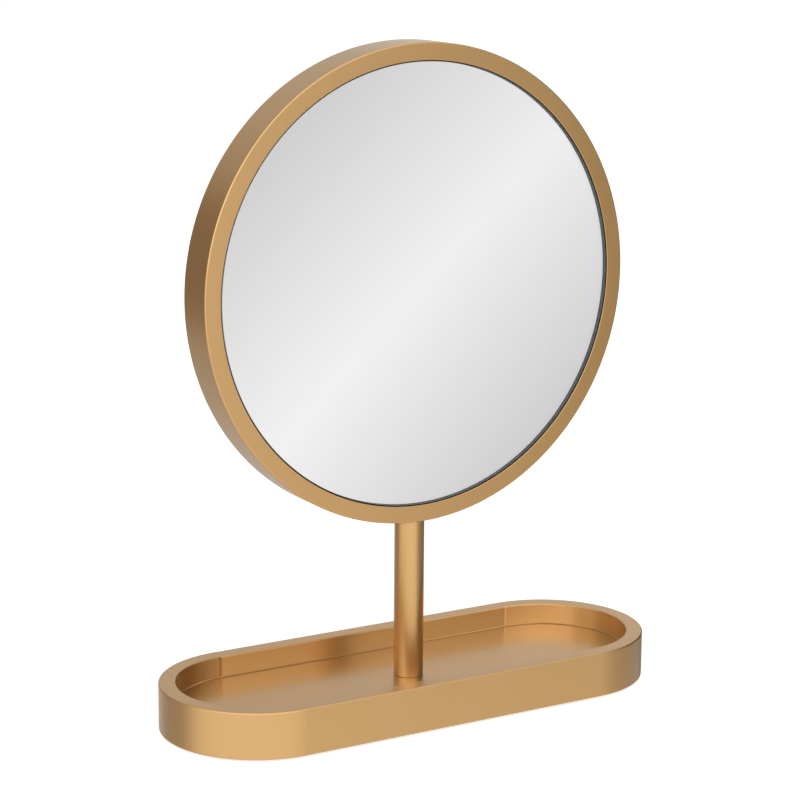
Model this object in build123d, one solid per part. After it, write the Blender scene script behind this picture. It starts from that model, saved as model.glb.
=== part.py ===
from build123d import *
import os
from math import degrees

# Round table mirror on a post that stands in a long tray with rounded ends.
# Sizes are in millimetres. X runs along the tray, Y goes to the back and Z is up.
# The mirror faces -Y. The origin is on the table, below the middle of the post.

# Fits shared by all pieces
slip_gap = 0.1          # between pieces that are put together by hand
bond_gap = 0.05         # under a glued or welded seat
thread_gap = 0.05       # between a thread and its hole, on the radius
running_gap = 0.05      # between the pivot stud and its bore, on the radius
cut_overrun = 3.0       # how far a cutter runs past a face

# Tray rim, a hollow bar with one groove for the floor and one for the bottom panel
tray_length = 347.0
tray_width = 127.0
rim_height = 30.2
rim_thickness = 11.0
rim_wall = 1.6
rim_edge_radius = 0.9
groove_depth = 4.0
groove_lip_radius = 0.6
seam_gap = 0.03         # between a rail and an end
seam_chamfer = 0.5      # on the inner upright edges at a seam
key_reach = 12.0        # how far a splice key goes into each bar

# Tray floor, bottom panel and feet
floor_height = 15.8     # top of the floor above the rim's lower edge
floor_thickness = 3.0
floor_shadow_gap = 0.12 # between the floor and the rim's lip above it
panel_thickness = 2.0
foot_proud = 1.5        # how far the feet stand below the rim
foot_diameter = 16.0
foot_edge_radius = 0.5
foot_inset = 11.0       # from the rim's inner face to the middle of a foot
access_diameter = 24.0
access_flange = 3.0
access_flange_thickness = 1.2
access_flange_chamfer = 0.4
access_wall = 1.5

# Stiffener plate and base bolt
stiffener_length = 150.0
stiffener_width = 80.0
stiffener_thickness = 2.5
stiffener_corner = 12.0
base_bolt_diameter = 8.0
base_bolt_length = 26.0
base_bolt_head_diameter = 14.0
base_bolt_head_height = 4.4
base_bolt_head_round = 2.0
base_bolt_socket_across = 5.0
base_bolt_socket_depth = 2.6
base_washer_diameter = 24.0
base_washer_thickness = 1.6

# Post
post_diameter = 19.3
post_length = 105.1
post_wall = 1.5
post_edge_chamfer = 0.4
foot_plug_length = 24.0
top_plug_length = 20.0

# Swivel on top of the post
thrust_washer_thickness = 0.5
thrust_washer_margin = 0.4      # kept back from the post's edge
saddle_thickness = 0.5
stud_diameter = 6.0
stud_grip = 17.0                # how far the stud goes into the top plug
stud_show = 1.5                 # above the lock nut
wave_washer_diameter = 11.4
wave_washer_thickness = 1.0
pivot_washer_diameter = 12.0
pivot_washer_thickness = 1.6
nut_across = 10.0
nut_height = 6.0
nut_collar_height = 2.0
nut_collar_diameter = 9.0
nut_corner_chamfer = 0.6

# Mirror frame, a J-shaped bar rolled to a ring with its open side to the back
frame_diameter = 305.0
frame_depth = 28.3
frame_wall = 2.0
face_width = 11.0
face_thickness = 1.6
return_wall = 1.4               # of the edge turned back round the glass
frame_front_radius = 1.1
frame_back_radius = 0.7
face_edge_radius = 0.8          # beside the glass

# Glass taped to its carrier board, spacer and back panel
glass_thickness = 3.0
glass_arris = 0.4
glass_recess = 0.4              # behind the frame's face
glass_gap = 0.7                 # between the glass and the frame, all round
tape_thickness = 1.0
tape_width = 20.0
tape_margin = 3.0               # kept back from the edge of the glass
carrier_thickness = 3.0
carrier_gap = 0.5               # between the board and the frame's outer wall
back_thickness = 3.0
back_recess = 1.5
back_gap = 0.3
spacer_width = 8.0

# Lugs and screws of the back panel
lug_count = 6
lug_width = 11.0
lug_height = 8.0
lug_depth = 9.0
cover_screw_diameter = 3.5
cover_screw_head = 6.8
cover_screw_length = 11.0

# Pivot block at the foot of the frame
block_width = 40.0
block_depth = 13.0
block_height = 12.0
block_clearance = 4.0           # between the block and the ends of the spacer
block_screw_diameter = 3.0
block_screw_head = 5.6
block_screw_length = 10.0
block_screw_spacing = 28.0
recess_width = 0.9              # cross recess of the small screws
recess_depth = 0.8
recess_reach_share = 0.6        # length of the cross against the screw's head

# Levels worked out from the sizes above
tray_half_width = tray_width / 2
straight_half = (tray_length - tray_width) / 2
rim_inner = tray_half_width - rim_thickness
rim_bottom = foot_proud
rim_top = rim_bottom + rim_height
floor_top = rim_bottom + floor_height
floor_bottom = floor_top - floor_thickness
floor_groove_low = floor_bottom - slip_gap
floor_groove_high = floor_top + floor_shadow_gap
panel_groove_low = rim_bottom + rim_wall
panel_bottom = panel_groove_low + slip_gap
panel_top = panel_bottom + panel_thickness
panel_groove_high = panel_top + slip_gap
upper_chamber = (floor_groove_high + rim_wall, rim_top - rim_wall)
lower_chamber = (panel_groove_high + rim_wall, floor_groove_low - rim_wall)

post_radius = post_diameter / 2
post_bore = post_radius - post_wall
post_top = floor_top + post_length
frame_radius = frame_diameter / 2
frame_bottom = post_top + thrust_washer_thickness + saddle_thickness
head_height = frame_bottom + frame_radius
band_inner = frame_radius - frame_wall
face_inner = frame_radius - face_width

# Levels through the head, measured from its middle towards the front
front_level = frame_depth / 2
face_back = front_level - face_thickness
glass_front = front_level - glass_recess
glass_back = glass_front - glass_thickness
carrier_front = glass_back - tape_thickness
carrier_back = carrier_front - carrier_thickness
back_outside = back_recess - frame_depth / 2
back_inside = back_outside + back_thickness
glass_radius = face_inner - glass_gap
lug_inner = band_inner - lug_height
spacer_outer = lug_inner - slip_gap
block_top = block_height - band_inner
base_bolt_hole = base_bolt_diameter / 2 + slip_gap

# The head is drawn with its axis upright and its front up, then set on the post.
head_place = Location(Plane(origin=(0, 0, head_height), x_dir=(1, 0, 0), z_dir=(0, -1, 0)))


def span(low, high, bottom, top):
    """A rectangle between two sides and two levels."""
    middle = Pos((low + high) / 2, (bottom + top) / 2)
    return middle * Rectangle(high - low, top - bottom)


def corner(sketch, across, level):
    """The corner of a sketch nearest to a point."""
    return sketch.vertices().sort_by_distance((across, level, 0))[0]


def turned(section):
    """A ring or disc whose section is drawn as radius against height."""
    return revolve(Plane.XZ * section, axis=Axis.Z)


def disc(radius, bottom, top):
    """An upright cylinder between two levels."""
    return Pos(0, 0, (bottom + top) / 2) * Cylinder(radius, top - bottom)


def hexagon(across, bottom, top):
    """An upright hexagonal bar, given across its flats."""
    shape = RegularPolygon(across / 2, 6, major_radius=False)
    return Pos(0, 0, bottom) * extrude(shape, top - bottom)


def group(solids):
    """Equal pieces that share one node."""
    return Compound(children=list(solids))


# Tray rim
def rim_section():
    """Section of the rim at the back, drawn as Y against Z."""
    inner_side = rim_inner + rim_wall
    outer_side = tray_half_width - rim_wall
    section = span(rim_inner, tray_half_width, rim_bottom, rim_top)
    for across in (rim_inner, tray_half_width):
        for level in (rim_bottom, rim_top):
            section = fillet(corner(section, across, level), rim_edge_radius)
    groove_back = rim_inner + groove_depth
    open_side = rim_inner - cut_overrun
    section -= span(open_side, groove_back, floor_groove_low, floor_groove_high)
    section -= span(open_side, groove_back, panel_groove_low, panel_groove_high)
    section = fillet(corner(section, rim_inner, floor_groove_high), groove_lip_radius)
    for low, high in (upper_chamber, lower_chamber):
        section -= span(inner_side, outer_side, low, high)
    return section


def ease_seam(bar, places):
    """Take the corner off the inner upright edge at each of a bar's ends."""
    middle_level = (floor_groove_high + rim_top) / 2
    for across, depth in places:
        uprights = bar.edges().filter_by(Axis.Z)
        edge = uprights.sort_by_distance((across, depth, middle_level))[0]
        bar = chamfer(edge, seam_chamfer)
    return bar


def back_rail():
    reach = straight_half - seam_gap
    rail = extrude(Plane.YZ.offset(-reach) * rim_section(), 2 * reach)
    return ease_seam(rail, [(-reach, rim_inner), (reach, rim_inner)])


def right_end():
    face = Plane.YZ.offset(straight_half) * rim_section()
    turning = Axis((straight_half, 0, 0), (0, 0, -1))
    end = revolve(face, axis=turning, revolution_arc=180)
    return ease_seam(end, [(straight_half, rim_inner), (straight_half, -rim_inner)])


def splice_keys(chamber):
    """Four curved keys, one across each seam, in one of the rim's chambers."""
    low, high = chamber
    inner_side = rim_inner + rim_wall + slip_gap
    outer_side = tray_half_width - rim_wall - slip_gap
    section = span(inner_side, outer_side, low + slip_gap, high - slip_gap)
    face = Plane.YZ.offset(straight_half) * section
    turning = Axis((straight_half, 0, 0), (0, 0, -1))
    bend = degrees(key_reach / ((inner_side + outer_side) / 2))
    key = extrude(face, -key_reach) + revolve(face, axis=turning, revolution_arc=bend)
    right_pair = [key, mirror(key, about=Plane.XZ)]
    left_pair = [mirror(one, about=Plane.YZ) for one in right_pair]
    return group(right_pair + left_pair)


# Tray floor, bottom panel and feet
def tray_plate(bottom, thickness):
    """A plate with rounded ends that fills the rim's grooves."""
    width = 2 * (rim_inner + groove_depth - slip_gap)
    outline = SlotOverall(width + 2 * straight_half, width)
    return Pos(0, 0, bottom) * extrude(outline, thickness)


def tray_floor():
    hole = disc(base_bolt_hole, floor_bottom - cut_overrun, floor_top + cut_overrun)
    return tray_plate(floor_bottom, floor_thickness) - hole


def bottom_panel():
    hole = disc(access_diameter / 2, panel_bottom - cut_overrun, panel_top + cut_overrun)
    return tray_plate(panel_bottom, panel_thickness) - hole


def access_plug():
    radius = access_diameter / 2 - slip_gap
    flange_bottom = panel_bottom - access_flange_thickness
    plug = disc(radius + access_flange, flange_bottom, panel_bottom)
    plug = chamfer(plug.edges().group_by(Axis.Z)[0], access_flange_chamfer)
    plug += disc(radius, panel_bottom, panel_top)
    return plug - disc(radius - access_wall, panel_bottom, panel_top + cut_overrun)


def foot(side, row):
    pad = disc(foot_diameter / 2, 0, panel_bottom)
    pad = fillet(pad.edges().group_by(Axis.Z)[0], foot_edge_radius)
    return Pos(side * straight_half, row * (rim_inner - foot_inset)) * pad


# Stiffener plate and base bolt
stiffener_bottom = floor_bottom - stiffener_thickness
washer_bottom = stiffener_bottom - base_washer_thickness


def stiffener_plate():
    outline = RectangleRounded(stiffener_length, stiffener_width, stiffener_corner)
    plate = Pos(0, 0, stiffener_bottom) * extrude(outline, stiffener_thickness)
    return plate - disc(base_bolt_hole, stiffener_bottom - cut_overrun, floor_bottom + cut_overrun)


def base_washer():
    washer = disc(base_washer_diameter / 2, washer_bottom, stiffener_bottom)
    return washer - disc(base_bolt_hole, washer_bottom - cut_overrun, stiffener_bottom + cut_overrun)


def base_bolt():
    head_bottom = washer_bottom - base_bolt_head_height
    head = disc(base_bolt_head_diameter / 2, head_bottom, washer_bottom)
    head = fillet(head.edges().group_by(Axis.Z)[0], base_bolt_head_round)
    socket_top = head_bottom + base_bolt_socket_depth
    head -= hexagon(base_bolt_socket_across, head_bottom - cut_overrun, socket_top)
    return head + disc(base_bolt_diameter / 2, washer_bottom, washer_bottom + base_bolt_length)


# Post and its plugs
def post_tube():
    tube = disc(post_radius, floor_top, post_top)
    ends = tube.edges().group_by(Axis.Z)
    tube = chamfer(ends[0] + ends[-1], post_edge_chamfer)
    return tube - disc(post_bore, floor_top - cut_overrun, post_top + cut_overrun)


def post_plug(bottom, top, thread_diameter):
    plug = disc(post_bore - bond_gap, bottom, top)
    hole = disc(thread_diameter / 2 + thread_gap, bottom - cut_overrun, top + cut_overrun)
    return plug - hole


# Swivel
wave_bottom = frame_bottom + frame_wall + block_height
pivot_washer_bottom = wave_bottom + wave_washer_thickness
nut_bottom = pivot_washer_bottom + pivot_washer_thickness
nut_top = nut_bottom + nut_height
stud_radius = stud_diameter / 2


def pivot_stud():
    return disc(stud_radius, post_top - stud_grip, nut_top + stud_show)


def stud_washer(diameter, bottom, top):
    hole = disc(stud_radius + running_gap, bottom - cut_overrun, top + cut_overrun)
    return disc(diameter / 2, bottom, top) - hole


def pivot_nut():
    collar_bottom = nut_top - nut_collar_height
    nut = hexagon(nut_across, nut_bottom, collar_bottom)
    nut = chamfer(nut.edges().group_by(Axis.Z)[-1], nut_corner_chamfer)
    nut += disc(nut_collar_diameter / 2, collar_bottom, nut_top)
    return nut - disc(stud_radius + thread_gap, nut_bottom - cut_overrun, nut_top + cut_overrun)


def pivot_saddle():
    """A thin collar, flat below and hollowed above to carry the round frame."""
    radius = post_radius - thrust_washer_margin
    seat = frame_radius + bond_gap
    collar = disc(radius, frame_bottom - saddle_thickness, frame_bottom + saddle_thickness)
    collar -= disc(stud_radius + running_gap, frame_bottom - cut_overrun, frame_bottom + cut_overrun)
    ring_face = Rot(90, 0, 0) * Cylinder(seat, post_diameter + cut_overrun)
    return collar - Pos(0, 0, head_height) * ring_face


# Mirror frame
def countersunk_screw(diameter, head_diameter, length):
    """A flat-headed screw with a cross recess, head up, its top at height zero."""
    radius = diameter / 2
    head_radius = head_diameter / 2
    sink = head_radius - radius
    outline = Polyline(
        (0, 0), (head_radius, 0), (radius, -sink),
        (radius, -length), (0, -length), close=True)
    screw = turned(make_face(outline))
    bar = Box(head_diameter * recess_reach_share, recess_width, 2 * recess_depth)
    return screw - bar - Rot(0, 0, 90) * bar


def screw_cutter(diameter, head_diameter, length, gap):
    """The hole for such a screw, open above."""
    radius = diameter / 2 + gap
    head_radius = head_diameter / 2 + gap
    sink = head_radius - radius
    depth = length + cut_overrun
    outline = Polyline(
        (0, cut_overrun), (head_radius, cut_overrun), (head_radius, 0),
        (radius, -sink), (radius, -depth), (0, -depth), close=True)
    return turned(make_face(outline))


def block_screw_places():
    """Places of the pivot block's screws, heads outwards on the frame's rim."""
    turn = degrees(block_screw_spacing / 2 / frame_radius)
    for side in (-turn, turn):
        yield Rot(0, 0, side) * Pos(0, -frame_radius, 0) * Rot(90, 0, 0)


def cover_screw_places():
    """Places of the back panel's screws, heads on the panel's outer face."""
    reach = (band_inner + lug_inner) / 2
    for place in PolarLocations(reach, lug_count):
        yield place * Pos(0, 0, back_outside) * Rot(180, 0, 0)


def frame_ring():
    back_level = -frame_depth / 2
    return_outer = face_inner + return_wall
    outline = Polyline(
        (face_inner, front_level), (frame_radius, front_level),
        (frame_radius, back_level), (band_inner, back_level),
        (band_inner, face_back), (return_outer, face_back),
        (return_outer, carrier_front), (face_inner, carrier_front), close=True)
    section = make_face(outline)
    section = fillet(corner(section, frame_radius, front_level), frame_front_radius)
    section = fillet(corner(section, frame_radius, back_level), frame_back_radius)
    section = fillet(corner(section, face_inner, front_level), face_edge_radius)
    ring = turned(section)
    hole = Rot(90, 0, 0) * Cylinder(stud_radius + slip_gap, 2 * face_width)
    ring -= Pos(0, -frame_radius, 0) * hole
    for place in block_screw_places():
        ring -= place * screw_cutter(block_screw_diameter, block_screw_head, block_screw_length, slip_gap)
    return ring


def mirror_glass():
    glass = disc(glass_radius, glass_back, glass_front)
    return chamfer(glass.edges(), glass_arris)


def glass_tape():
    outer = glass_radius - tape_margin
    return turned(span(outer - tape_width, outer, carrier_front, glass_back))


def carrier_board():
    """Carries the glass and is pressed from behind against the frame's turned edge."""
    return disc(band_inner - carrier_gap, carrier_back, carrier_front)


def spacer_ring():
    ring = turned(span(spacer_outer - spacer_width, spacer_outer, back_inside, carrier_back))
    width = block_width + 2 * block_clearance
    notch = Box(width, 2 * spacer_width + cut_overrun, 2 * frame_depth)
    return ring - Pos(0, -spacer_outer, 0) * notch


def back_panel():
    panel = disc(band_inner - back_gap, back_outside, back_inside)
    for place in cover_screw_places():
        panel -= place * screw_cutter(cover_screw_diameter, cover_screw_head, cover_screw_length, slip_gap)
    return panel


def cover_lugs():
    seat = disc(band_inner - bond_gap, back_inside, carrier_back)
    lug = Box(2 * lug_height, lug_width, lug_depth)
    lug_place = Pos(lug_inner + lug_height, 0, back_inside + lug_depth / 2)
    hole = Cylinder(cover_screw_diameter / 2 + thread_gap, 2 * lug_depth + cut_overrun)
    middle = Pos((band_inner + lug_inner) / 2, 0, back_inside + lug_depth / 2)
    one = lug_place * lug & seat
    one -= middle * hole
    turns = [index * 360 / lug_count for index in range(lug_count)]
    return group(Rot(0, 0, turn) * one for turn in turns)


def pivot_block():
    low = -frame_radius
    blank = Pos(0, (low + block_top) / 2, 0) * Box(block_width, block_top - low, block_depth)
    block = blank & Cylinder(band_inner - bond_gap, 2 * block_depth)
    bore = Rot(90, 0, 0) * Cylinder(stud_radius + running_gap, 2 * block_height + cut_overrun)
    block -= Pos(0, block_top, 0) * bore
    for place in block_screw_places():
        block -= place * screw_cutter(block_screw_diameter, block_screw_head, block_screw_length, thread_gap)
    return block


def screws(places, diameter, head_diameter, length):
    return group(place * countersunk_screw(diameter, head_diameter, length) for place in places)


# All pieces by name
rear_rail = back_rail()
east_end = right_end()
half_turn = Rot(0, 0, 180)
washer_radius = post_radius - thrust_washer_margin

stand = {
    "rim_rail_back": rear_rail,
    "rim_rail_front": half_turn * rear_rail,
    "rim_end_right": east_end,
    "rim_end_left": half_turn * east_end,
    "upper_splice_keys": splice_keys(upper_chamber),
    "lower_splice_keys": splice_keys(lower_chamber),
    "tray_floor": tray_floor(),
    "bottom_panel": bottom_panel(),
    "access_plug": access_plug(),
    "stiffener_plate": stiffener_plate(),
    "base_washer": base_washer(),
    "base_bolt": base_bolt(),
    "post_tube": post_tube(),
    "post_foot_plug": post_plug(floor_top, floor_top + foot_plug_length, base_bolt_diameter),
    "post_top_plug": post_plug(post_top - top_plug_length, post_top, stud_diameter),
    "thrust_washer": stud_washer(2 * washer_radius, post_top, post_top + thrust_washer_thickness),
    "pivot_stud": pivot_stud(),
    "wave_washer": stud_washer(wave_washer_diameter, wave_bottom, pivot_washer_bottom),
    "pivot_washer": stud_washer(pivot_washer_diameter, pivot_washer_bottom, nut_bottom),
    "pivot_nut": pivot_nut(),
}
for side_name, side in (("left", -1), ("right", 1)):
    for row_name, row in (("front", -1), ("back", 1)):
        stand[f"foot_{row_name}_{side_name}"] = foot(side, row)

head = {
    "frame_ring": frame_ring(),
    "mirror_glass": mirror_glass(),
    "glass_tape": glass_tape(),
    "carrier_board": carrier_board(),
    "spacer_ring": spacer_ring(),
    "back_panel": back_panel(),
    "cover_lugs": cover_lugs(),
    "cover_screws": screws(cover_screw_places(), cover_screw_diameter, cover_screw_head, cover_screw_length),
    "pivot_block": pivot_block(),
    "block_screws": screws(block_screw_places(), block_screw_diameter, block_screw_head, block_screw_length),
}

os.makedirs("parts", exist_ok=True)
for name, shape in stand.items():
    export_step(shape, f"parts/{name}.step")
for name, shape in head.items():
    export_step(head_place * shape, f"parts/{name}.step")
export_step(pivot_saddle(), "parts/pivot_saddle.step")
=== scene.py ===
import math

import bmesh
import bpy
from mathutils import Matrix, Vector


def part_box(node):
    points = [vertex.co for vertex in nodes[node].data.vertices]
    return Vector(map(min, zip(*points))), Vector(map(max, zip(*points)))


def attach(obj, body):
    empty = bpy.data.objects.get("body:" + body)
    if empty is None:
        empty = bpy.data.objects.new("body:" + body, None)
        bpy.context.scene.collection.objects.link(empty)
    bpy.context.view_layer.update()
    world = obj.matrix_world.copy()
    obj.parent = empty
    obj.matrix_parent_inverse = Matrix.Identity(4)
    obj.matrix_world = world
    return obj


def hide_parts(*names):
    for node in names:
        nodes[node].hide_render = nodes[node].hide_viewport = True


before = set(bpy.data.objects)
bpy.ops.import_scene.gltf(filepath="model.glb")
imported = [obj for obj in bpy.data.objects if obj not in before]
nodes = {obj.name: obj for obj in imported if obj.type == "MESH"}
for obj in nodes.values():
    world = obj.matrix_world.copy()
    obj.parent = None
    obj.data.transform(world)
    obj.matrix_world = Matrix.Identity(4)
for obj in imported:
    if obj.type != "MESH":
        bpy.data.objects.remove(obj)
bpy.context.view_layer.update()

# The scene that holds the imported model, and the millimetre
scene = bpy.context.scene
MM = 0.001

# Frame and glass
FRAME_WALL = 2.0 * MM
FACE_THICKNESS = 1.6 * MM
RETURN_WALL = 1.4 * MM
FRAME_FRONT_RADIUS = 0.8 * MM
FRAME_BACK_RADIUS = 0.7 * MM
FACE_EDGE_RADIUS = 0.35 * MM
GLASS_GAP = 0.7 * MM
GLASS_ARRIS = 0.2 * MM
PAINT_COAT = 0.05 * MM

# Holes in the frame's foot, for the pivot stud and for a screw on each side of it
STUD_GAP = 0.1 * MM
STUD_HOLE_DEPTH = 8.0 * MM
SCREW_HEAD = 5.8 * MM
SCREW_SHANK = 3.2 * MM
SCREW_SPACING = 28.0 * MM

# Post
POST_WALL = 1.5 * MM
POST_EDGE_RADIUS = 0.4 * MM

# Rim of the tray, with the toe of its inner wall above the floor
RIM_THICKNESS = 11.0 * MM
RIM_WALL = 1.6 * MM
RIM_EDGE_RADIUS = 0.9 * MM
GROOVE_GAP = 0.1 * MM
FLOOR_SHADOW_GAP = 0.15 * MM
TOE_RUN = 0.8 * MM
TOE_RISE = 0.45 * MM

# Seams in the rim's inner wall, and the chambers of the keys that join the bars
SEAM_DEPTH = 0.45 * MM
RAIL_SEAM_RUN = 0.45 * MM
END_SEAM_RUN = 1.1 * MM
END_RELIEF_DEPTH = 0.3 * MM
END_RELIEF_RUN = 7.0 * MM
KEY_NODES = ("upper_splice_keys", "lower_splice_keys")
KEY_GAP = 0.1 * MM
CHAMBER_OVERRUN = 3.0 * MM

# How finely round shapes are cut, and how close two places count as one
RING_STEPS = 288
END_STEPS = 96
POST_STEPS = 144
HOLE_STEPS = 48
ROUND_SEGMENTS = 6
POST_ROUND_SEGMENTS = 3
CHAMFER_SEGMENTS = 1
SHARP_ANGLE = math.radians(30)
NEAR = 0.02 * MM
DOUBLES = 0.002 * MM

# Places read from the nodes
ring_low, ring_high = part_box("frame_ring")
ring_centre = (ring_low + ring_high) / 2
ring_radius = ring_high.x
glass_low, glass_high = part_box("mirror_glass")
glass_radius = glass_high.x
face_inner = glass_radius + GLASS_GAP
return_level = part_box("carrier_board")[0].y
post_low, post_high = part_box("post_tube")
rim_low, rim_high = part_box("rim_end_right")
rim_outer = rim_high.y
rim_inner = rim_outer - RIM_THICKNESS
rim_straight = rim_low.x
floor_low, floor_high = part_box("tray_floor")
panel_low, panel_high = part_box("bottom_panel")
groove_back = floor_high.y + GROOVE_GAP
lip_level = floor_high.z + FLOOR_SHADOW_GAP


# Shader trees, with the colour sockets of the Mix node
MIX_SHARE = 0
MIX_FIRST = 6
MIX_SECOND = 7
MIX_RESULT = 2


class Socket:
    """An output of a shader node. Sums with it add Math nodes to its tree."""

    def __init__(self, tree, output):
        self.tree = tree
        self.output = output

    def beside(self, name):
        """Another output of the same node."""
        return Socket(self.tree, self.output.node.outputs[name])

    def math(self, operation, *values):
        return self.tree.node("ShaderNodeMath", {"operation": operation}, dict(enumerate(values)))

    def __add__(self, other):
        return self.math("ADD", self, other)

    __radd__ = __add__

    def __sub__(self, other):
        return self.math("SUBTRACT", self, other)

    def __rsub__(self, other):
        return self.math("SUBTRACT", other, self)

    def __mul__(self, other):
        return self.math("MULTIPLY", self, other)

    __rmul__ = __mul__

    def __truediv__(self, other):
        return self.math("DIVIDE", self, other)


class Tree:
    """Adds nodes to the shader tree of a material or the world."""

    def __init__(self, owner):
        owner.use_nodes = True
        self.tree = owner.node_tree
        self.tree.nodes.clear()

    def node(self, kind, settings, sockets, output=0):
        made = self.tree.nodes.new(kind)
        for name, value in settings.items():
            setattr(made, name, value)
        for name, value in sockets.items():
            if isinstance(value, Socket):
                self.tree.links.new(value.output, made.inputs[name])
            else:
                made.inputs[name].default_value = value
        return Socket(self, made.outputs[output]) if made.outputs else None

    def parts(self, vector):
        """The three numbers of a vector."""
        return [self.node("ShaderNodeSeparateXYZ", {}, {"Vector": vector}, axis) for axis in "XYZ"]

    def step(self, value, low, high):
        """Goes smoothly from 0 at low to 1 at high."""
        settings = {"interpolation_type": "SMOOTHSTEP"}
        sockets = {"Value": value, "From Min": low, "From Max": high}
        return self.node("ShaderNodeMapRange", settings, sockets)

    def within(self, value, low, high, soft):
        """1 between two values, with soft ends outside them."""
        return self.step(value, low - soft, low) * self.step(value, high + soft, high)

    def mix(self, share, first, second):
        """A colour between two colours."""
        sockets = {MIX_SHARE: share, MIX_FIRST: first, MIX_SECOND: second}
        return self.node("ShaderNodeMix", {"data_type": "RGBA"}, sockets, MIX_RESULT)


class Finish(Tree):
    """A material on one Principled shader."""

    def __init__(self, name):
        self.material = bpy.data.materials.new(name)
        super().__init__(self.material)
        self.place = self.node("ShaderNodeTexCoord", {}, {}, "Object")

    def noise(self, size, detail, roughness):
        """Spots of about the given size, from 0 to 1."""
        sockets = {"Vector": self.place, "Scale": 1 / size, "Detail": detail, "Roughness": roughness}
        return self.node("ShaderNodeTexNoise", {}, sockets)

    def bump(self, height, strength, distance):
        sockets = {"Height": height, "Strength": strength, "Distance": distance}
        return self.node("ShaderNodeBump", {}, sockets)

    def close(self, sockets):
        shader = self.node("ShaderNodeBsdfPrincipled", {}, sockets)
        self.node("ShaderNodeOutputMaterial", {}, {"Surface": shader})
        return self.material


# Noises: size of the spots, detail, roughness
SATIN = (0.22 * MM, 3.0, 0.6)
CLOUD = (70 * MM, 2.0, 0.5)
GRAIN_DETAIL = 4.0
GRAIN_ROUGHNESS = 0.6
NOISE_MIDDLE = 0.5

# Satin gold: its colours, how rough it is on each piece, and how much the noises change it
GOLD = (0.73, 0.473, 0.203, 1.0)
GOLD_DEEP = (0.70, 0.445, 0.185, 1.0)
CLOUD_SHARE = 0.7
FRAME_ROUGHNESS = 0.32
POST_ROUGHNESS = 0.39
RIM_ROUGHNESS = 0.38
FLOOR_ROUGHNESS = 0.33
SATIN_DRIFT = 0.05
CLOUD_DRIFT = 0.04
SATIN_BUMP = 0.02
SATIN_HEIGHT = 0.02 * MM
LACQUER_SHARE = 0.5

# Mirror: clear glass, and silver on its back
CLEAR = (0.993, 0.990, 0.993, 1)
CLEAR_DEEP = (0.985, 0.983, 0.986, 1)
GLASS_IOR = 1.52
SILVER = (0.965, 0.955, 0.965, 1)
SILVER_DEEP = (0.96, 0.95, 0.96, 1)
POLISH_ROUGHNESS = 0.002

# Grain of all other surfaces
GRAIN_DRIFT = 0.15
GRAIN_BUMP = 0.15
GRAIN_HEIGHT_SHARE = 0.25


def satin_gold(name, roughness):
    """Gold plating under a clear lacquer, which is smoother than the gold."""
    paint = Finish(name)
    satin = paint.noise(*SATIN)
    cloud = paint.noise(*CLOUD)
    tone = cloud * CLOUD_SHARE + satin * (1 - CLOUD_SHARE)
    drift = (satin - NOISE_MIDDLE) * SATIN_DRIFT + (cloud - NOISE_MIDDLE) * CLOUD_DRIFT
    return paint.close({
        "Base Color": paint.mix(tone, GOLD_DEEP, GOLD),
        "Metallic": 1.0,
        "Roughness": roughness + drift,
        "Coat Weight": 1.0,
        "Coat Roughness": roughness * LACQUER_SHARE,
        "Normal": paint.bump(satin, SATIN_BUMP, SATIN_HEIGHT),
    })


def clear_glass():
    paint = Finish("clear_glass")
    cloud = paint.noise(*CLOUD)
    return paint.close({
        "Base Color": paint.mix(cloud, CLEAR_DEEP, CLEAR),
        "Roughness": cloud * POLISH_ROUGHNESS,
        "IOR": GLASS_IOR,
        "Transmission Weight": 1.0,
    })


def silver_coat():
    paint = Finish("silver_coat")
    cloud = paint.noise(*CLOUD)
    return paint.close({
        "Base Color": paint.mix(cloud, SILVER_DEEP, SILVER),
        "Metallic": 1.0,
        "Roughness": cloud * POLISH_ROUGHNESS,
    })


def plain(name, light, dark, roughness, grain_size, metallic=0.0):
    """A moulded, rolled, ground or painted surface with a fine grain."""
    paint = Finish(name)
    grain = paint.noise(grain_size, GRAIN_DETAIL, GRAIN_ROUGHNESS)
    return paint.close({
        "Base Color": paint.mix(grain, dark, light),
        "Metallic": metallic,
        "Roughness": roughness + (grain - NOISE_MIDDLE) * GRAIN_DRIFT,
        "Normal": paint.bump(grain, GRAIN_BUMP, grain_size * GRAIN_HEIGHT_SHARE),
    })


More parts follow.
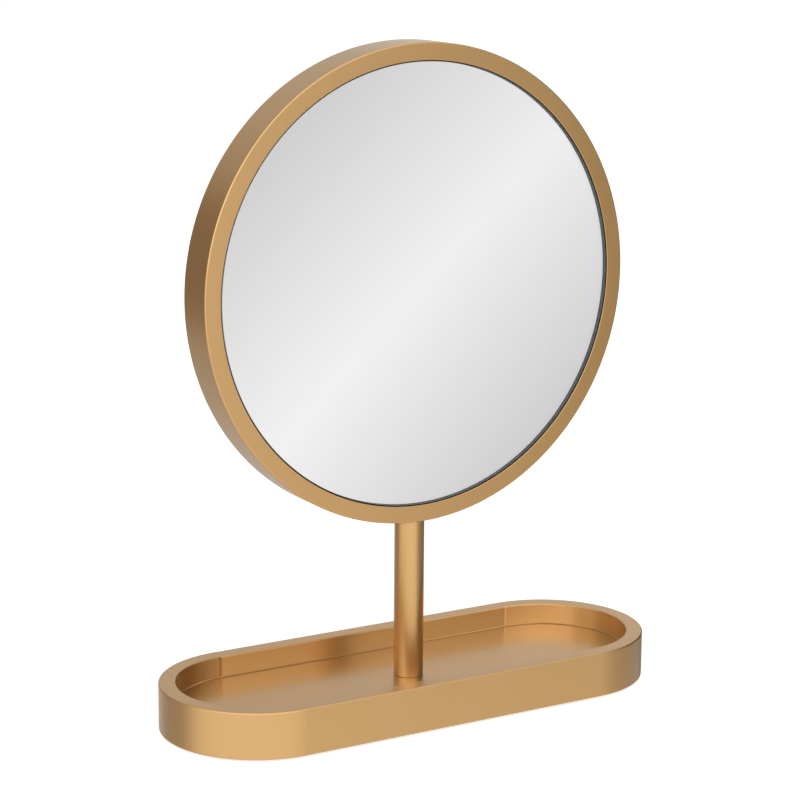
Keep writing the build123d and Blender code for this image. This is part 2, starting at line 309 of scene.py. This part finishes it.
def dress(gold):
    """Finishes for the nodes that keep their own shape."""
    rubber = plain(
        "soft_rubber", light=(0.05, 0.045, 0.042, 1), dark=(0.03, 0.028, 0.026, 1),
        roughness=0.75, grain_size=0.4 * MM)
    board = plain(
        "lacquered_board", light=(0.055, 0.047, 0.04, 1), dark=(0.035, 0.03, 0.026, 1),
        roughness=0.55, grain_size=0.5 * MM)
    plastic = plain(
        "black_plastic", light=(0.035, 0.035, 0.036, 1), dark=(0.025, 0.025, 0.026, 1),
        roughness=0.45, grain_size=0.3 * MM)
    bearing = plain(
        "bronze_bearing", light=(0.20, 0.115, 0.045, 1), dark=(0.15, 0.085, 0.032, 1),
        roughness=0.45, grain_size=0.3 * MM)
    zinc = plain(
        "zinc_plate", light=(0.66, 0.66, 0.68, 1), dark=(0.56, 0.56, 0.58, 1),
        roughness=0.32, grain_size=0.4 * MM, metallic=1.0)
    screw = plain(
        "dark_zinc", light=(0.11, 0.10, 0.095, 1), dark=(0.07, 0.065, 0.06, 1),
        roughness=0.38, grain_size=0.4 * MM, metallic=1.0)
    steel = plain(
        "rolled_steel", light=(0.5, 0.5, 0.51, 1), dark=(0.4, 0.4, 0.41, 1),
        roughness=0.4, grain_size=0.8 * MM, metallic=1.0)
    finishes = {
        gold: ("pivot_saddle",),
        satin_gold("satin_floor", FLOOR_ROUGHNESS): ("tray_floor",),
        rubber: (
            "glass_tape", "foot_front_left", "foot_front_right", "foot_back_left", "foot_back_right"),
        board: ("carrier_board", "back_panel", "bottom_panel"),
        plastic: ("access_plug", "spacer_ring"),
        bearing: ("thrust_washer",),
        screw: ("cover_screws", "block_screws"),
        steel: (
            "stiffener_plate", "post_foot_plug", "post_top_plug", "pivot_block", "cover_lugs", *KEY_NODES),
        zinc: ("base_washer", "base_bolt", "pivot_stud", "wave_washer", "pivot_washer", "pivot_nut"),
    }
    for finish, names in finishes.items():
        for name in names:
            nodes[name].material_slots[0].material = finish


# Modelled pieces, and the finishes of those that have more than one, in their order
# The frame's second finish is near-black paint: painted shade for the gap round the glass
GILT_FACE, SHADE_PAINTED_FACE = range(2)
CLEAR_FACE, SILVERED_FACE, GROUND_FACE = range(3)


def outline(bm, points):
    """Edges round a closed outline."""
    corners = [bm.verts.new(point) for point in points]
    for first, second in zip(corners, corners[1:] + corners[:1]):
        bm.edges.new((first, second))


def spin(bm, centre, axis, turn, steps):
    """Turns the outline about an axis, to a whole ring or to a bend with closed ends."""
    whole = turn == math.tau
    bmesh.ops.spin(
        bm, geom=bm.verts[:] + bm.edges[:], cent=centre, axis=axis, angle=turn, steps=steps,
        use_merge=whole)
    if not whole:
        bmesh.ops.holes_fill(bm, edges=[edge for edge in bm.edges if edge.is_boundary])
    bmesh.ops.remove_doubles(bm, verts=bm.verts[:], dist=DOUBLES)


def stretch(bm, travel):
    """Draws the outline out to a straight bar with closed ends."""
    face = bm.faces.new(bm.verts[:])
    moved = bmesh.ops.extrude_face_region(bm, geom=[face], use_keep_orig=True)["geom"]
    corners = [part for part in moved if isinstance(part, bmesh.types.BMVert)]
    bmesh.ops.translate(bm, verts=corners, vec=travel)


def soften(bm, radius, segments, chosen):
    """Rounds or chamfers the edges whose ends are both chosen."""
    edges = [edge for edge in bm.edges if all(chosen(end.co) for end in edge.verts)]
    bmesh.ops.bevel(
        bm, geom=edges, offset=radius, offset_type="OFFSET", segments=segments, profile=0.5,
        affect="EDGES", material=-1)


def piece(bm, name, body, slot, *finishes):
    """Makes the finished piece, which replaces the node of its name."""
    bmesh.ops.recalc_face_normals(bm, faces=bm.faces[:])
    for face in bm.faces:
        face.smooth = True
    mesh = bpy.data.meshes.new(name + "_mesh")
    bm.to_mesh(mesh)
    bm.free()
    mesh.set_sharp_from_angle(angle=SHARP_ANGLE)
    for finish in finishes:
        mesh.materials.append(finish)
    made = bpy.data.objects.new("finished_" + name, mesh)
    scene.collection.objects.link(made)
    made.modifiers.new("weighted_normals", "WEIGHTED_NORMAL").keep_sharp = True
    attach(made, body)
    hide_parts(name)
    return made


def carve(made, bm):
    """Cuts a shape out of a finished piece, whose normals are weighted only after the cut."""
    bmesh.ops.recalc_face_normals(bm, faces=bm.faces[:])
    mesh = bpy.data.meshes.new("cutter")
    bm.to_mesh(mesh)
    bm.free()
    cutter = bpy.data.objects.new("cutter", mesh)
    scene.collection.objects.link(cutter)
    weighted = made.modifiers["weighted_normals"]
    weighted.show_viewport = False
    cut = made.modifiers.new("cut", "BOOLEAN")
    cut.object = cutter
    result = made.evaluated_get(bpy.context.evaluated_depsgraph_get())
    carved = bpy.data.meshes.new_from_object(result)
    carved.set_sharp_from_angle(angle=SHARP_ANGLE)
    made.modifiers.remove(cut)
    made.data = carved
    weighted.show_viewport = True
    bpy.data.objects.remove(cutter)


def near(value, other):
    return abs(value - other) < NEAR


def ring_reach(spot):
    """Distance of a place from the frame's axis."""
    return math.hypot(spot.x, spot.z - ring_centre.z)


def frame_ring(gold):
    bm = bmesh.new()
    front, back = ring_low.y, ring_high.y
    band_inner = ring_radius - FRAME_WALL
    face_back = front + FACE_THICKNESS
    return_outer = face_inner + RETURN_WALL
    section = (
        (face_inner, front), (ring_radius, front), (ring_radius, back), (band_inner, back),
        (band_inner, face_back), (return_outer, face_back), (return_outer, return_level),
        (face_inner, return_level))
    outline(bm, [(reach, depth, ring_centre.z) for reach, depth in section])
    spin(bm, (0, 0, ring_centre.z), (0, 1, 0), math.tau, RING_STEPS)
    corners = (
        (ring_radius, front, FRAME_FRONT_RADIUS), (ring_radius, back, FRAME_BACK_RADIUS),
        (face_inner, front, FACE_EDGE_RADIUS))
    for reach, depth, radius in corners:
        def chosen(spot):
            return near(ring_reach(spot), reach) and near(spot.y, depth)
        soften(bm, radius, ROUND_SEGMENTS, chosen)
    # The frame's wall beside the glass gets near-black paint, as painted shade in the gap round the glass
    for face in bm.faces:
        middle = face.calc_center_median()
        beside_glass = near(ring_reach(middle), face_inner) and middle.y > face_back
        face.material_index = SHADE_PAINTED_FACE if beside_glass else GILT_FACE
    gap_shade_paint = plain(
        "painted_gap_shade", light=(0.030, 0.022, 0.016, 1), dark=(0.020, 0.015, 0.011, 1),
        roughness=0.6, grain_size=0.3 * MM)
    drill_foot(piece(bm, "frame_ring", "mirror_head", "gold_frame", gold, gap_shade_paint))


def drill_foot(ring):
    """A hole for the pivot stud, and a countersink for the screw on each side of it."""
    bm = bmesh.new()
    stud_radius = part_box("pivot_stud")[1].x + STUD_GAP
    bmesh.ops.create_cone(
        bm, cap_ends=True, segments=HOLE_STEPS, radius1=stud_radius, radius2=stud_radius,
        depth=STUD_HOLE_DEPTH, matrix=Matrix.Translation(ring_centre - Vector((0, 0, ring_radius))))
    sink = (SCREW_HEAD - SCREW_SHANK) / 2
    for side in (-1, 1):
        turn = Matrix.Rotation(side * SCREW_SPACING / 2 / ring_radius, 4, "Y")
        place = Matrix.Translation(ring_centre) @ turn @ Matrix.Translation((0, 0, -ring_radius))
        bmesh.ops.create_cone(
            bm, cap_ends=True, segments=HOLE_STEPS, radius1=SCREW_HEAD / 2 + sink,
            radius2=SCREW_SHANK / 2, depth=2 * sink, matrix=place)
    carve(ring, bm)


def post_tube(gold):
    bm = bmesh.new()
    radius, low, high = post_high.x, post_low.z, post_high.z
    bore = radius - POST_WALL
    outline(bm, [(bore, 0, low), (radius, 0, low), (radius, 0, high), (bore, 0, high)])
    spin(bm, (0, 0, 0), (0, 0, 1), math.tau, POST_STEPS)
    for level in (low, high):
        def chosen(spot):
            return near(math.hypot(spot.x, spot.y), radius) and near(spot.z, level)
        soften(bm, POST_EDGE_RADIUS, POST_ROUND_SEGMENTS, chosen)
    piece(bm, "post_tube", "stand", "gold_post", gold)


def rim_outline(bm, along, side):
    """Section of the rim, a bar grooved for the floor and for the bottom panel."""
    floor_groove = floor_low.z - GROOVE_GAP
    panel_groove_low, panel_groove_high = panel_low.z - GROOVE_GAP, panel_high.z + GROOVE_GAP
    section = (
        (rim_outer, rim_low.z), (rim_outer, rim_high.z), (rim_inner, rim_high.z),
        (rim_inner, lip_level + TOE_RISE), (rim_inner - TOE_RUN, lip_level), (groove_back, lip_level),
        (groove_back, floor_groove), (rim_inner, floor_groove), (rim_inner, panel_groove_high),
        (groove_back, panel_groove_high), (groove_back, panel_groove_low), (rim_inner, panel_groove_low),
        (rim_inner, rim_low.z))
    outline(bm, [(along, side * reach, level) for reach, level in section])


def round_rim(bm, reach_of):
    """Rounds the long edges of a rim bar."""
    for reach in (rim_inner, rim_outer):
        for level in (rim_low.z, rim_high.z):
            def chosen(spot):
                return near(reach_of(spot), reach) and near(spot.z, level)
            soften(bm, RIM_EDGE_RADIUS, ROUND_SEGMENTS, chosen)


def open_seams(bm, run, depth):
    """Draws the inner wall back towards the bar's ends, so that each seam is a shallow groove."""
    rounded_off = rim_inner + RIM_EDGE_RADIUS + END_RELIEF_DEPTH + NEAR
    for seam in (-rim_straight, rim_straight):
        for cut in (seam - run, seam + run):
            whole = bm.verts[:] + bm.edges[:] + bm.faces[:]
            bmesh.ops.bisect_plane(bm, geom=whole, plane_co=(cut, 0, 0), plane_no=(1, 0, 0))
        for corner in bm.verts:
            place = corner.co
            away = abs(place.x - seam) / run
            if away < 1 and place.z > lip_level + NEAR and abs(place.y) < rounded_off:
                place.y += math.copysign(depth * (1 - away), place.y)


def chamber_outline(bm, keys, along, side):
    """Section of one of the rim's two chambers, which hold the splice keys."""
    low, high = (corner.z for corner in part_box(keys))
    inner, outer = rim_inner + RIM_WALL, rim_outer - RIM_WALL
    section = (
        (inner, low - KEY_GAP), (outer, low - KEY_GAP), (outer, high + KEY_GAP), (inner, high + KEY_GAP))
    outline(bm, [(along, side * reach, level) for reach, level in section])


def rim_rail(name, side, gold):
    bm = bmesh.new()
    rim_outline(bm, -rim_straight, side)
    stretch(bm, (2 * rim_straight, 0, 0))
    round_rim(bm, lambda spot: abs(spot.y))
    open_seams(bm, RAIL_SEAM_RUN, SEAM_DEPTH + END_RELIEF_DEPTH)
    rail = piece(bm, name, "stand", "gold_frame", gold)
    reach = rim_straight + CHAMBER_OVERRUN
    for keys in KEY_NODES:
        bm = bmesh.new()
        chamber_outline(bm, keys, -reach, side)
        stretch(bm, (2 * reach, 0, 0))
        carve(rail, bm)


def rim_end(name, side, gold):
    bm = bmesh.new()
    bend_centre = (side * rim_straight, 0, 0)
    bend_axis = (0, 0, -side)
    rim_outline(bm, side * rim_straight, 1)
    spin(bm, bend_centre, bend_axis, math.pi, END_STEPS)
    round_rim(bm, lambda spot: math.hypot(spot.x - side * rim_straight, spot.y))
    open_seams(bm, END_RELIEF_RUN, END_RELIEF_DEPTH)
    open_seams(bm, END_SEAM_RUN, SEAM_DEPTH)
    end = piece(bm, name, "stand", "gold_frame", gold)
    overturn = CHAMBER_OVERRUN / rim_inner
    for keys in KEY_NODES:
        bm = bmesh.new()
        chamber_outline(bm, keys, side * rim_straight, 1)
        turn = Matrix.Rotation(side * overturn, 4, "Z")
        bmesh.ops.rotate(bm, verts=bm.verts[:], cent=bend_centre, matrix=turn)
        spin(bm, bend_centre, bend_axis, math.pi + 2 * overturn, END_STEPS)
        carve(end, bm)


def mirror_glass():
    """Glass with ground edges and a silvered back, which leaves room for its coat of paint."""
    bm = bmesh.new()
    front, back = glass_low.y, glass_high.y - PAINT_COAT
    place = Matrix.Translation((0, back, ring_centre.z)) @ Matrix.Rotation(math.pi / 2, 4, "X")
    bmesh.ops.create_circle(bm, segments=RING_STEPS, radius=glass_radius, matrix=place)
    stretch(bm, (0, front - back, 0))
    for level in (front, back):
        soften(bm, GLASS_ARRIS, CHAMFER_SEGMENTS, lambda spot: near(spot.y, level))
    for face in bm.faces:
        depth = face.calc_center_median().y
        if near(depth, front):
            face.material_index = CLEAR_FACE
        elif near(depth, back):
            face.material_index = SILVERED_FACE
        else:
            face.material_index = GROUND_FACE
    ground = plain(
        "ground_edge", light=(0.46, 0.50, 0.52, 1), dark=(0.36, 0.40, 0.42, 1),
        roughness=0.5, grain_size=0.2 * MM)
    piece(bm, "mirror_glass", "mirror_head", "mirror", clear_glass(), silver_coat(), ground)


# Studio light. Azimuths and elevations are in degrees: azimuth 0 is in front, and 90 on the right.
WHITE = (1.0, 1.0, 1.0, 1.0)
WARM_WHITE = (1.0, 0.91, 0.81, 1)
ROOM_LEVEL = 0.6

# Light all round, which the metal shows, in steps of azimuth: from, to, change of level
BACK_LEVEL = 0.54
ROUND_STEPS = (
    (-178, -158, -0.10),
    (-122, -98, 0.56),
    (24, 38, -0.90),
    (122, 142, 0.57),
    (142, 160, -0.13),
)

# A whiter window in front, with its own steps, which the inside of the tray shows
WINDOW_ELEVATIONS = (6, 28)
WINDOW_SOFT = 8
WINDOW_STEPS = (
    (-92, -70, 0.70),
    (-20, 20, -0.28),
    (48, 66, -0.42),
)
WINDOW_AZIMUTHS = (-81, 57)
WINDOW_SIDES_SOFT = 20
WINDOW_COLOUR = (1.0, 0.98, 0.96, 1)

# Light from the table on the right, with its own steps
TABLE_ELEVATIONS = (-15, -20)
TABLE_STEPS = (
    (26, 38, 0.80),
    (45, 76, -0.18),
    (80, 110, -0.12),
    (115, 127, -0.50),
)

# Light from above, which ends towards the back
OVERHEAD_LEVEL = 1.2
OVERHEAD_ELEVATIONS = (28, 55)
OVERHEAD_BACK = (0.45, 0.1)

# A warm shade behind on the left
SHADE_AZIMUTHS = (-165, -118)
SHADE_ELEVATIONS = (-9, 10)
SHADE_SOFT = 12
SHADE_DROP = 0.42
SHADE_COLOUR = (1.0, 0.764, 0.616, 1)

# The mirror's diagonal sheen: the middle in azimuth and elevation, half the span in both, levels
SHEEN_MIDDLE = (31.45, -9.9)
SHEEN_SPAN = (3.15, 3.55)
SHEEN_LEVEL = 0.95
SHEEN_FALL = 0.145
SHEEN_LEAST = 0.62

# Studio floor
FLOOR_HALF = 6.0
FLOOR_COLOUR = (0.8, 0.8, 0.8, 1)
FLOOR_GLOW = 0.62

# Lamp on the left in front
LAMP_WIDTH = 1.6
LAMP_HEIGHT = 1.2
LAMP_POWER = 30
LAMP_PLACE = Vector((-1.2, -1.6, 2.0))
LAMP_AIM = Vector((0, 0, 0.2))


def studio_world():
    world = bpy.data.worlds.new("studio")
    scene.world = world
    sky = Tree(world)
    right, back, up = sky.parts(sky.node("ShaderNodeTexCoord", {}, {}, "Generated"))
    azimuth = right.math("ARCTAN2", right, back * -1) * math.degrees(1)
    elevation = up.math("ARCSINE", up) * math.degrees(1)
    # What the metal shows
    window = sky.within(elevation, *WINDOW_ELEVATIONS, WINDOW_SOFT)
    table = sky.step(elevation, *TABLE_ELEVATIONS)
    level = BACK_LEVEL
    for share, steps in ((1, ROUND_STEPS), (window, WINDOW_STEPS), (table, TABLE_STEPS)):
        for start, end, change in steps:
            level = sky.step(azimuth, start, end) * change * share + level
    overhead = sky.step(elevation, *OVERHEAD_ELEVATIONS) * sky.step(back, *OVERHEAD_BACK)
    level = overhead * OVERHEAD_LEVEL + (1 - overhead) * level
    shade = sky.within(azimuth, *SHADE_AZIMUTHS, SHADE_SOFT)
    shade = shade * sky.within(elevation, *SHADE_ELEVATIONS, SHADE_SOFT)
    level = level * (1 - shade * SHADE_DROP)
    daylight = window * sky.within(azimuth, *WINDOW_AZIMUTHS, WINDOW_SIDES_SOFT)
    metal_colour = sky.mix(shade, WARM_WHITE, SHADE_COLOUR)
    metal_colour = sky.mix(daylight, metal_colour, WINDOW_COLOUR)
    # What the mirror shows
    across = (azimuth - SHEEN_MIDDLE[0]) / SHEEN_SPAN[0]
    rise = (elevation - SHEEN_MIDDLE[1]) / SHEEN_SPAN[1]
    sheen = SHEEN_LEVEL - SHEEN_FALL * rise.math("ABSOLUTE", rise - across)
    sheen = sheen.math("MAXIMUM", sheen, SHEEN_LEAST)
    # White to the camera, and an even level to all other rays
    camera_ray = sky.node("ShaderNodeLightPath", {}, {}, "Is Camera Ray")
    mirror_ray = camera_ray.beside("Is Transmission Ray")
    metal_ray = camera_ray.beside("Is Glossy Ray") * (1 - mirror_ray)
    shown = metal_ray * level + mirror_ray * sheen + (1 - metal_ray - mirror_ray) * ROOM_LEVEL
    shown = camera_ray + (1 - camera_ray) * shown
    colour = sky.mix(metal_ray, WHITE, metal_colour)
    background = sky.node("ShaderNodeBackground", {}, {"Color": colour, "Strength": shown})
    sky.node("ShaderNodeOutputWorld", {}, {"Surface": background})


def studio_floor():
    """A pale floor, which glows white to the camera and is clear to it from below."""
    bm = bmesh.new()
    bmesh.ops.create_grid(bm, x_segments=1, y_segments=1, size=FLOOR_HALF)
    mesh = bpy.data.meshes.new("studio_floor")
    bm.to_mesh(mesh)
    bm.free()
    floor = bpy.data.objects.new("studio_floor", mesh)
    scene.collection.objects.link(floor)
    material = bpy.data.materials.new("pale_floor")
    paint = Tree(material)
    pale = paint.node("ShaderNodeBsdfDiffuse", {}, {"Color": FLOOR_COLOUR})
    glow = paint.node("ShaderNodeEmission", {}, {"Color": WHITE, "Strength": FLOOR_GLOW})
    bright = paint.node("ShaderNodeAddShader", {}, {0: pale, 1: glow})
    seen = paint.node("ShaderNodeLightPath", {}, {}, "Is Camera Ray")
    above = paint.node("ShaderNodeMixShader", {}, {0: seen, 1: pale, 2: bright})
    from_below = seen * paint.node("ShaderNodeNewGeometry", {}, {}, "Backfacing")
    clear = paint.node("ShaderNodeBsdfTransparent", {}, {})
    shown = paint.node("ShaderNodeMixShader", {}, {0: from_below, 1: above, 2: clear})
    paint.node("ShaderNodeOutputMaterial", {}, {"Surface": shown})
    mesh.materials.append(material)
    floor.visible_glossy = False
    floor.visible_transmission = False


def key_lamp():
    data = bpy.data.lights.new("key_lamp", "AREA")
    data.shape = "RECTANGLE"
    data.size = LAMP_WIDTH
    data.size_y = LAMP_HEIGHT
    data.energy = LAMP_POWER
    lamp = bpy.data.objects.new("key_lamp", data)
    scene.collection.objects.link(lamp)
    lamp.location = LAMP_PLACE
    lamp.rotation_euler = (LAMP_AIM - LAMP_PLACE).to_track_quat("-Z", "Y").to_euler()
    lamp.visible_glossy = False
    lamp.visible_transmission = False


# Camera at the photograph's place
CAMERA_PLACE = Vector((-0.80500, -1.32849, 0.54547))
CAMERA_TURN = math.radians(30.970)
CAMERA_DIP = math.radians(12.522)
CAMERA_ROLL = math.radians(0.405)
CAMERA_LENS = 112.095
SENSOR_WIDTH = 36
CLIP_START = 0.05
CLIP_END = 50


def camera():
    data = bpy.data.cameras.new("camera")
    data.lens = CAMERA_LENS
    data.sensor_width = SENSOR_WIDTH
    data.clip_start = CLIP_START
    data.clip_end = CLIP_END
    eye = bpy.data.objects.new("camera", data)
    scene.collection.objects.link(eye)
    turn = Matrix.Rotation(-CAMERA_TURN, 4, "Z") @ Matrix.Rotation(math.pi / 2 - CAMERA_DIP, 4, "X")
    eye.matrix_world = Matrix.Translation(CAMERA_PLACE) @ turn @ Matrix.Rotation(CAMERA_ROLL, 4, "Z")
    scene.camera = eye


gold = satin_gold("satin_gold", FRAME_ROUGHNESS)
dress(gold)
frame_ring(gold)
post_tube(satin_gold("satin_post", POST_ROUGHNESS))
rim_gold = satin_gold("satin_rim", RIM_ROUGHNESS)
rim_rail("rim_rail_back", 1, rim_gold)
rim_rail("rim_rail_front", -1, rim_gold)
rim_end("rim_end_right", 1, rim_gold)
rim_end("rim_end_left", -1, rim_gold)
mirror_glass()
studio_world()
studio_floor()
key_lamp()
camera()
scene.view_settings.view_transform = "Standard"
